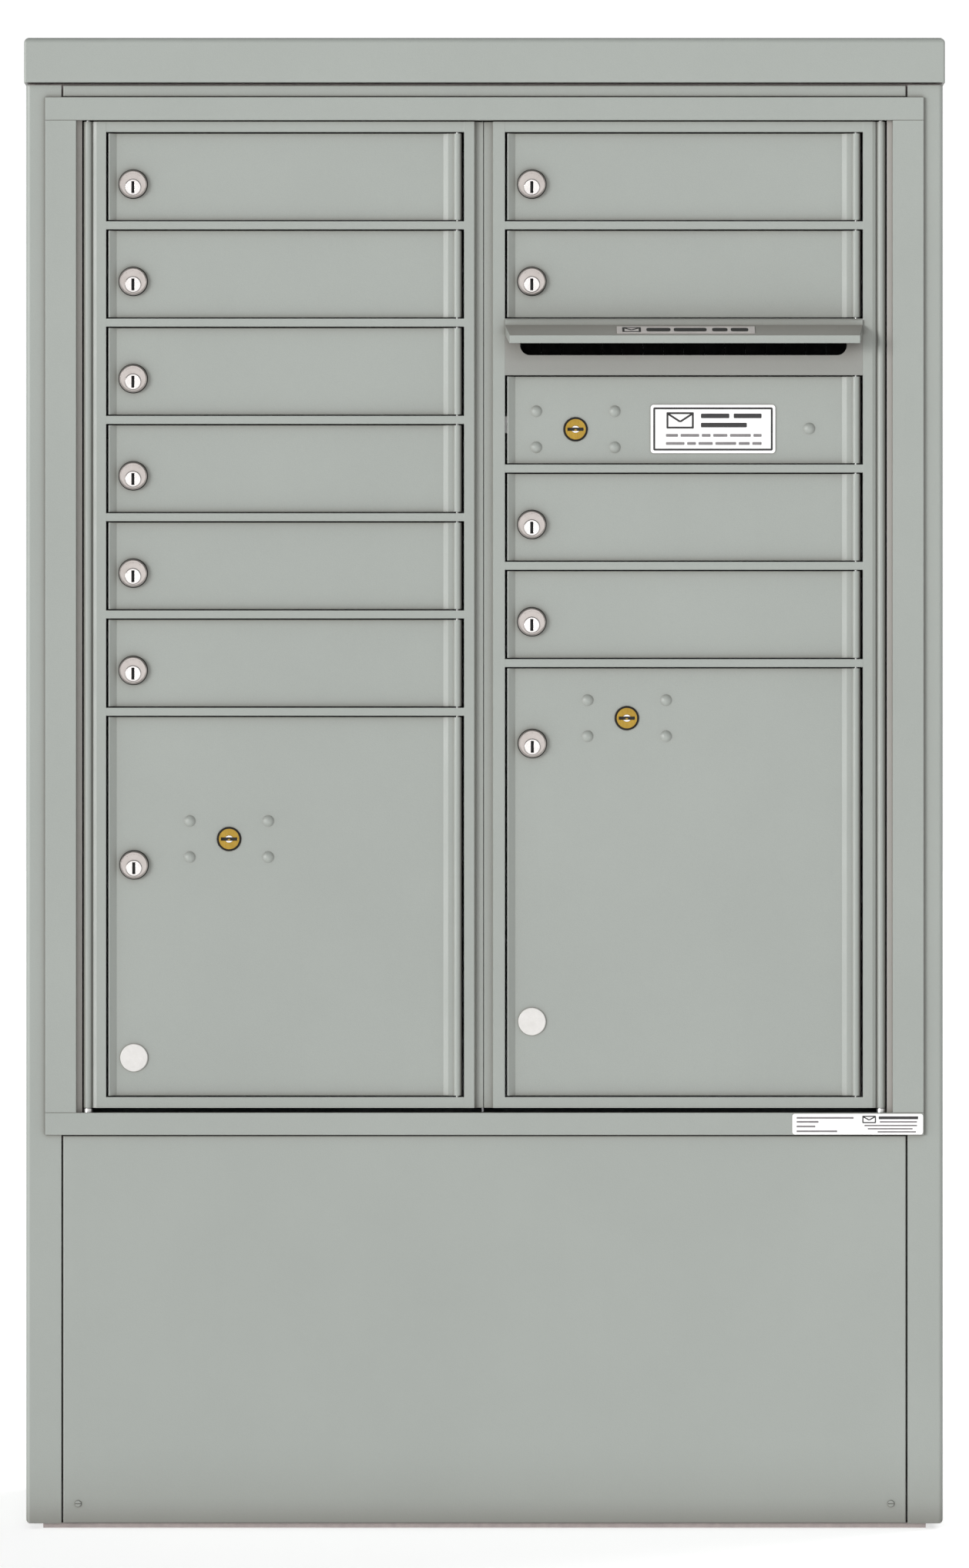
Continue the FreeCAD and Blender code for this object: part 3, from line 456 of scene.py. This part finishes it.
def to_mesh(name, bm):
    bmesh.ops.recalc_face_normals(bm, faces=bm.faces)
    data = bpy.data.meshes.new(name)
    bm.to_mesh(data)
    bm.free()
    return data


def lathe(bm, centre, profile, steps=72):
    """Turns a closed profile of (radius mm, depth mm) points about an axis along Y."""
    rings = []
    for radius, depth in profile:
        ring = []
        for k in range(steps):
            angle = 2.0 * math.pi * k / steps
            ring.append(bm.verts.new((centre.x + radius * MM * math.cos(angle), FRONT + depth * MM,
                                      centre.z + radius * MM * math.sin(angle))))
        rings.append(ring)
    for a, b in zip(rings, rings[1:] + rings[:1]):
        for k in range(steps):
            n = (k + 1) % steps
            bm.faces.new((a[k], a[n], b[n], b[k]))


def block(bm, x0, x1, d0, d1, z0, z1, edge=0.0):
    """A block in mm with softened edges."""
    made = bmesh.ops.create_cube(bm, size=1.0)["verts"]
    middle = place((x0 + x1) / 2, (d0 + d1) / 2, (z0 + z1) / 2)
    size = Vector(((x1 - x0) * MM, (d1 - d0) * MM, (z1 - z0) * MM))
    for vert in made:
        vert.co = Vector(a * b for a, b in zip(vert.co, size)) + middle
    if edge > 0.0:
        lines = list({line for vert in made for line in vert.link_edges})
        bmesh.ops.bevel(bm, geom=lines, offset=edge * MM, segments=2, profile=0.5, affect="EDGES")


def rounded_outline(x0, x1, z0, z1, radius, steps=6):
    """Corner points of a rectangle with rounded corners."""
    points = []
    corners = ((x1 - radius, z1 - radius, 0), (x0 + radius, z1 - radius, 90),
               (x0 + radius, z0 + radius, 180), (x1 - radius, z0 + radius, 270))
    for cx, cz, start in corners:
        for k in range(steps + 1):
            angle = math.radians(start + 90.0 * k / steps)
            points.append((cx + radius * math.cos(angle), cz + radius * math.sin(angle)))
    return points


INK = 0.05                                   # thickness of printed marks


class Print:
    """Thin ink or film marks on a flat plate. u and v are mm along the plate, from its lower left corner."""

    def __init__(self, corner, across, up, out):
        self.corner, self.across, self.up, self.out = corner, across, up, out
        self.bm = bmesh.new()

    def point(self, u, v, lift):
        return self.corner + (self.across * u + self.up * v + self.out * lift) * MM

    def patch(self, outline):
        lower = [self.bm.verts.new(self.point(u, v, 0.0)) for u, v in outline]
        upper = [self.bm.verts.new(self.point(u, v, INK)) for u, v in outline]
        self.bm.faces.new(upper)
        self.bm.faces.new(lower[::-1])
        for k in range(len(outline)):
            n = (k + 1) % len(outline)
            self.bm.faces.new((lower[k], lower[n], upper[n], upper[k]))

    def bar(self, u0, u1, v0, v1, radius=0.0):
        if radius > 0.0:
            self.patch(rounded_outline(u0, u1, v0, v1, radius, 3))
        else:
            self.patch([(u0, v0), (u1, v0), (u1, v1), (u0, v1)])

    def ring(self, u0, u1, v0, v1, radius, width):
        outer = rounded_outline(u0, u1, v0, v1, radius)
        inner = rounded_outline(u0 + width, u1 - width, v0 + width, v1 - width, max(0.2, radius - width))
        rows = []
        for outline, height in ((outer, 0.0), (outer, INK), (inner, INK), (inner, 0.0)):
            rows.append([self.bm.verts.new(self.point(u, v, height)) for u, v in outline])
        for a, b in zip(rows, rows[1:] + rows[:1]):
            for k in range(len(a)):
                n = (k + 1) % len(a)
                self.bm.faces.new((a[k], a[n], b[n], b[k]))

    def stroke(self, start, end, width):
        du, dv = end[0] - start[0], end[1] - start[1]
        size = math.hypot(du, dv)
        nu, nv = -dv / size * width / 2, du / size * width / 2
        self.patch([(start[0] + nu, start[1] + nv), (start[0] - nu, start[1] - nv),
                    (end[0] - nu, end[1] - nv), (end[0] + nu, end[1] + nv)])

    def envelope(self, u, v, width, height, line):
        self.ring(u, u + width, v, v + height, 0.8, line)
        middle = (u + width / 2, v + height * 0.42)
        self.stroke((u + line, v + height - line), middle, line)
        self.stroke(middle, (u + width - line, v + height - line), line)

    def build(self, name, material, body):
        finish_piece(name, to_mesh(name, self.bm), material, body, False)


# Locks: rubber gasket under each head, turned groove and index ticks on its face, wards in the keyway in
# near-black as painted shade.
GROOVE = 11.5                                # radius of the groove on a lock's head
TICK_CIRCLE = 9.7
TICKS = 7
TICK_STEP = 13.0                             # degrees
for body, plug_body, axis in doors:
    head = axis + Vector((0.0, 0.0, PLUG_DROP * MM))
    bm = bmesh.new()
    lathe(bm, head, [(12.0, 3.5), (13.05, 3.35), (13.45, 3.6), (13.45, 3.98), (12.0, 3.98)])
    finish_piece(body + "_lock_gasket", to_mesh("gasket", bm), rubber, body)
    bm = bmesh.new()
    lathe(bm, head, [(GROOVE - 0.25, LOCK_FRONT - 0.03), (GROOVE, LOCK_FRONT - 0.16),
                     (GROOVE + 0.25, LOCK_FRONT - 0.03), (GROOVE + 0.25, LOCK_FRONT + 0.05),
                     (GROOVE - 0.25, LOCK_FRONT + 0.05)])
    for k in range(TICKS):
        angle = math.radians(90.0 + (k - TICKS // 2) * TICK_STEP)
        size = 0.32 if k % 3 else 0.45
        middle = head + Vector((math.cos(angle), 0.0, math.sin(angle))) * TICK_CIRCLE * MM
        lathe(bm, middle, [(0.02, LOCK_FRONT + 0.04), (size, LOCK_FRONT + 0.04),
                           (size * 0.8, LOCK_FRONT - 0.16), (0.02, LOCK_FRONT - 0.2)], 10)
    finish_piece(body + "_lock_beading", to_mesh("beading", bm), satin, body)
    bm = bmesh.new()
    x, z = axis.x / MM, axis.z / MM
    block(bm, x - 1.38, x - 0.5, 0.4, 3.4, z + 1.4, z + 2.3, 0.12)
    block(bm, x + 0.5, x + 1.38, 0.4, 3.4, z - 2.6, z - 1.7, 0.12)
    block(bm, x - 1.38, x + 1.38, 1.8, 2.2, z - 5.3, z + 5.3, 0.1)
    finish_piece(plug_body + "_wards", to_mesh("wards", bm), keyway_shade_black, plug_body)

# Carrier's locks: black rubber ring on the face as painted shade in the gap around the lock cylinder, and nickel
# spindle end either side of the key slot.
SPINDLE_R = 3.9
SPINDLE_RISE = 3.3
SPINDLE_START = 25.0                         # degrees
SPINDLE_STEPS = 12
for prefix in ("master", "left_parcel", "right_parcel"):
    plug_body = prefix + "_plug"
    axis = joint_at[prefix + "_key_turn"]
    bm = bmesh.new()
    lathe(bm, axis, [(9.35, 3.15), (9.6, 2.9), (10.5, 2.9), (10.8, 3.2), (10.8, 3.9), (9.35, 3.3)])
    finish_piece(plug_body + "_shade_ring", to_mesh("shade_ring", bm), rubber, plug_body)
    bm = bmesh.new()
    for way in (1, -1):
        outline = []
        for k in range(SPINDLE_STEPS + 1):
            angle = math.radians(SPINDLE_START + (180.0 - 2.0 * SPINDLE_START) * k / SPINDLE_STEPS)
            rise = math.sin(angle) - math.sin(math.radians(SPINDLE_START))
            outline.append((SPINDLE_R * math.cos(angle), way * (1.5 + SPINDLE_RISE * rise)))
        x, z = axis.x / MM, axis.z / MM
        lower = [bm.verts.new(place(x + u, 3.22, z + v)) for u, v in outline]
        upper = [bm.verts.new(place(x + u * 0.9, 2.95, z + v * 0.92 + way * 0.08)) for u, v in outline]
        bm.faces.new(upper)
        for k in range(len(outline)):
            n = (k + 1) % len(outline)
            bm.faces.new((lower[k], lower[n], upper[n], upper[k]))
        bm.faces.new(lower[::-1])
    finish_piece(plug_body + "_spindle", to_mesh("spindle", bm), bright, plug_body, False)

# Labels, with a plain envelope mark and bars in place of lettering.
EAST = Vector((1.0, 0.0, 0.0))
UP = Vector((0.0, 0.0, 1.0))
OUT = Vector((0.0, -1.0, 0.0))
MAIL_LABEL = place(151.9, 3.2, 983.0)        # lower left corner
plate = Print(MAIL_LABEL, EAST, UP, OUT)
plate.ring(2.4, 111.7, 2.4, 41.9, 1.4, 1.8)
plate.envelope(14.5, 22.5, 25.0, 15.0, 1.8)
plate.bar(46.0, 72.0, 32.0, 36.2, 0.8)
plate.bar(76.0, 101.5, 32.0, 36.2, 0.8)
plate.bar(46.0, 88.0, 23.6, 27.8, 0.8)
plate.build("mail_label_mark", ink, "right_leaf")
plate = Print(MAIL_LABEL, EAST, UP, OUT)
LINE_END = 101.5
for v, sizes in ((15.0, (11.0, 17.0, 8.0, 13.0, 19.0, 10.0)), (7.6, (17.0, 8.0, 13.0, 19.0, 10.0, 9.0))):
    u = 14.0
    for size in sizes:
        size = min(size, LINE_END - u)
        if size > 2.0:
            plate.bar(u, u + size, v, v + 2.6, 0.6)
        u += size + 2.4
plate.build("mail_label_lines", pale_ink, "right_leaf")

HOOD_LABEL_X = 0.1207                        # left end of the hood's label, in metres
LIP_HEIGHT = 7.1
low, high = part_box("slot_hood")
nose_y, nose_z = low.y, low.z + LIP_HEIGHT * MM
slope = math.atan2(10.7, 24.4)               # rise and run of the hood's slope
along = Vector((0.0, math.cos(slope), math.sin(slope)))
outward = Vector((0.0, -math.sin(slope), math.cos(slope)))
corner = Vector((HOOD_LABEL_X, nose_y, nose_z)) + along * 5.0 * MM + outward * 0.4 * MM
plate = Print(corner, EAST, along, outward)
plate.envelope(5.0, 2.6, 17.0, 12.0, 2.0)
for u, size in ((27.0, 22.0), (52.0, 30.0), (87.0, 14.0), (104.0, 16.0)):
    plate.bar(u, u + size, 4.0, 13.0, 2.4)
plate.build("hood_label_mark", ink, "right_leaf")

low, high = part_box("rating_label")
plate = Print(Vector((low.x, low.y, low.z)), EAST, UP, OUT)
plate.envelope(64.0, 10.4, 12.5, 6.8, 1.1)
plate.bar(79.0, 115.0, 14.0, 16.6, 0.4)
plate.build("rating_label_mark", ink, "cabinet")
plate = Print(Vector((low.x, low.y, low.z)), EAST, UP, OUT)
for v, size in ((14.4, 52.0), (10.8, 20.0), (6.6, 17.0), (2.2, 37.0)):
    plate.bar(4.0, 4.0 + size, v, v + 1.6, 0.3)
for v, u0, u1 in ((10.9, 80.0, 114.0), (7.6, 66.0, 114.0), (4.6, 69.0, 110.0), (1.8, 78.0, 113.0)):
    plate.bar(u0, u1, v, v + 1.3, 0.3)
plate.build("rating_label_lines", pale_ink, "cabinet")

# Rubber draught flap that hangs behind the mail slot, slit into strips along its lower edge, in near-black rubber
# as painted shade inside the slot.
FLAP_LEFT = 33.4
STRIPS = 16
STRIP_WIDTH = 18.6
SLIT = 0.5
FLAP_THICK = 1.1
bm = bmesh.new()
for number in range(STRIPS):
    x0 = FLAP_LEFT + number * STRIP_WIDTH + SLIT / 2
    x1 = x0 + STRIP_WIDTH - SLIT
    lean = 0.12 * math.sin(number * 2.1)
    rows = []
    for z, d in ((1097.0, 3.4), (1086.0, 3.7), (1076.0, 4.9 + lean), (1068.0, 6.8 + lean)):
        corners = ((x0, d), (x1, d), (x1, d + FLAP_THICK), (x0, d + FLAP_THICK))
        rows.append([bm.verts.new(place(x, depth, z)) for x, depth in corners])
    for a, b in zip(rows, rows[1:]):
        for k in range(4):
            n = (k + 1) % 4
            bm.faces.new((a[k], a[n], b[n], b[k]))
    bm.faces.new(rows[0])
    bm.faces.new(rows[-1][::-1])
finish_piece("mail_slot_flap", to_mesh("flap", bm), slot_shade_black, "right_leaf", False)

# Rolled hems on the front edges of the shelves, either side of the partition.
HEM_R = 1.5
HEM_STEPS = 12
PARTITION = (-2.6, -0.9)                     # X of its faces, with a little room
LEVEL = 0.004                                # heights closer than this, in metres, are one shelf
levels = {}
for vert in nodes["compartment_shelves"].data.vertices:
    side = "left" if vert.co.x < PARTITION[0] * MM else "right" if vert.co.x > PARTITION[1] * MM else None
    if side:
        levels.setdefault((side, round(vert.co.z / LEVEL)), []).append(vert.co.z)
shelf_front = depth_of(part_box("compartment_shelves")[0])
bm = bmesh.new()
for (side, key), heights in sorted(levels.items()):
    z = (min(heights) + max(heights)) / 2 / MM
    x0, x1 = (-369.5, -8.0) if side == "left" else (0.5, 369.5)
    ring_a, ring_b = [], []
    for k in range(HEM_STEPS):
        angle = 2.0 * math.pi * k / HEM_STEPS
        d = shelf_front + 0.9 + HEM_R * math.cos(angle)
        h = z - 0.2 + HEM_R * math.sin(angle)
        ring_a.append(bm.verts.new(place(x0, d, h)))
        ring_b.append(bm.verts.new(place(x1, d, h)))
    for k in range(HEM_STEPS):
        n = (k + 1) % HEM_STEPS
        bm.faces.new((ring_a[k], ring_a[n], ring_b[n], ring_b[k]))
    bm.faces.new(ring_a)
    bm.faces.new(ring_b[::-1])
finish_piece("shelf_hems", to_mesh("hems", bm), galvanised, "cabinet")


# ---------------------------------------------------------------- floor, light, camera
def white_floor(half_size):
    """A white floor with a faint glow that grows with distance, so that it fades into the backdrop."""
    data = bpy.data.meshes.new("floor")
    data.from_pydata([(-half_size, -half_size, 0.0), (half_size, -half_size, 0.0),
                      (half_size, half_size, 0.0), (-half_size, half_size, 0.0)], [], [(0, 1, 2, 3)])
    floor = bpy.data.objects.new("floor", data)
    bpy.context.scene.collection.objects.link(floor)
    s = Shade("floor", roughness=0.9)
    s.set("Base Color", (0.80, 0.80, 0.80))
    s.set("Specular IOR Level", 0.1)
    s.set("Emission Color", (1.0, 1.0, 1.0))
    distance = s.add("ShaderNodeVectorMath", operation="LENGTH")
    s.give(distance.inputs[0], s.coords)
    s.set("Emission Strength", s.span(distance.outputs["Value"], 1.0, 9.0, 0.64, 0.78))
    data.materials.append(s.material)
    floor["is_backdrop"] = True


white_floor(60.0)

# The sky is white near the horizon and dim above, so that upright faces get most of the light.
world = bpy.data.worlds.new("studio")
bpy.context.scene.world = world
world.use_nodes = True
tree = world.node_tree
background = tree.nodes["Background"]
coordinate = tree.nodes.new("ShaderNodeTexCoord")
split = tree.nodes.new("ShaderNodeSeparateXYZ")
tree.links.new(coordinate.outputs["Generated"], split.inputs[0])
band = tree.nodes.new("ShaderNodeMapRange")
band.interpolation_type = "SMOOTHSTEP"
band.inputs["From Min"].default_value = 0.12
band.inputs["From Max"].default_value = 0.35
band.inputs["To Min"].default_value = 1.03
band.inputs["To Max"].default_value = 0.22
tree.links.new(split.outputs["Z"], band.inputs["Value"])
tree.links.new(band.outputs["Result"], background.inputs["Strength"])
background.inputs["Color"].default_value = (1.0, 1.0, 1.0, 1.0)


def sun(name, azimuth, elevation, strength, angle):
    """A soft distant light. Azimuth 0 is in front of the object and 90 to its left."""
    data = bpy.data.lights.new(name, "SUN")
    data.energy = strength
    data.angle = math.radians(angle)
    obj = bpy.data.objects.new(name, data)
    bpy.context.scene.collection.objects.link(obj)
    a, e = math.radians(azimuth), math.radians(elevation)
    toward = Vector((-math.sin(a) * math.cos(e), -math.cos(a) * math.cos(e), math.sin(e)))
    obj.rotation_mode = "QUATERNION"
    obj.rotation_quaternion = toward.to_track_quat("Z", "Y")


def softbox(name, where, aim, width, height, power):
    """A rectangular light that faces a point."""
    data = bpy.data.lights.new(name, "AREA")
    data.shape = "RECTANGLE"
    data.size = width
    data.size_y = height
    data.energy = power
    obj = bpy.data.objects.new(name, data)
    bpy.context.scene.collection.objects.link(obj)
    obj.location = where
    obj.rotation_mode = "QUATERNION"
    obj.rotation_quaternion = (Vector(where) - Vector(aim)).to_track_quat("Z", "Y")


sun("key", 48.0, 6.0, 2.35, 22.0)
sun("rim", 215.0, 38.0, 1.0, 30.0)
softbox("front softbox", (0.0, FRONT - 8.6, 0.6), (0.0, 0.0, 0.6), 5.0, 4.0, 66.0)

scene = bpy.context.scene
scene.view_settings.view_transform = "Standard"
scene.view_settings.look = "None"
scene.view_settings.exposure = 0.0

SENSOR = 36.0
TRIM_THICK = 0.003
CAMERA_HEIGHT = 0.6806
DISTANCE = 8.0                               # from the camera to the trim's face
FRAME_HEIGHT = 2035 * 0.70384 * MM           # what the frame's height covers at the trim's face
camera_data = bpy.data.cameras.new("camera")
camera_data.sensor_width = SENSOR
camera_data.lens = SENSOR * DISTANCE / FRAME_HEIGHT
camera_data.clip_start = 0.1
camera_data.clip_end = 200.0
camera = bpy.data.objects.new("camera", camera_data)
scene.collection.objects.link(camera)
camera.location = (0.0, FRONT - TRIM_THICK - DISTANCE, CAMERA_HEIGHT)
camera.rotation_euler = (math.radians(90.0), 0.0, 0.0)
scene.camera = camera

bpy.context.view_layer.update()
low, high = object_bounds()
